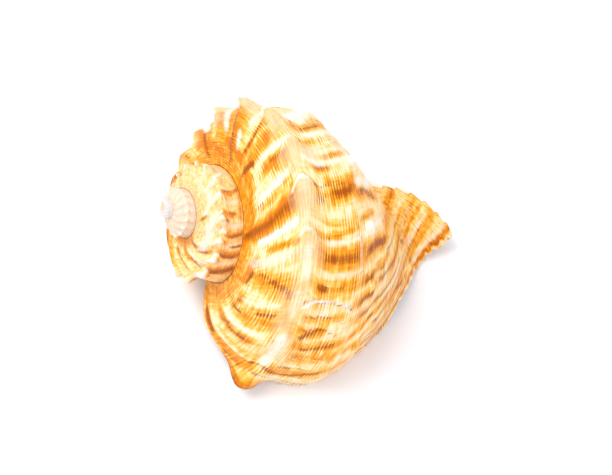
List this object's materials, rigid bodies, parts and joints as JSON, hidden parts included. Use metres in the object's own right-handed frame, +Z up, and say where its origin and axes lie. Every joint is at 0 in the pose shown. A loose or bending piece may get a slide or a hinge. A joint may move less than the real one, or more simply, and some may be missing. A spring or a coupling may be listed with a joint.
{
  "type": "rapa whelk seashell",
  "caption": "Right-handed whelk seashell lying on its open mouth, with a low knobbed spire, a wide last whorl with a keeled shoulder, a flared lip and a short curved canal.",
  "frame": {"origin": "centre of the bounding box in plan, at the level of the surface that the shell lies on", "axes": "+Z up, away from the surface; +X from the spire towards the canal, along the longest side; -Y on the side of the outer lip"},
  "size_m": [0.0724, 0.0678, 0.0482],
  "materials": {
    "shell": "natural calcium-carbonate shell, satin outside with orange-brown and cream growth bands, white worn knobs and a grey-white tip, smooth glazed cream-orange inside the mouth"
  },
  "bodies": {
    "root": {"shell": "shell"}
  },
  "joints": []
}
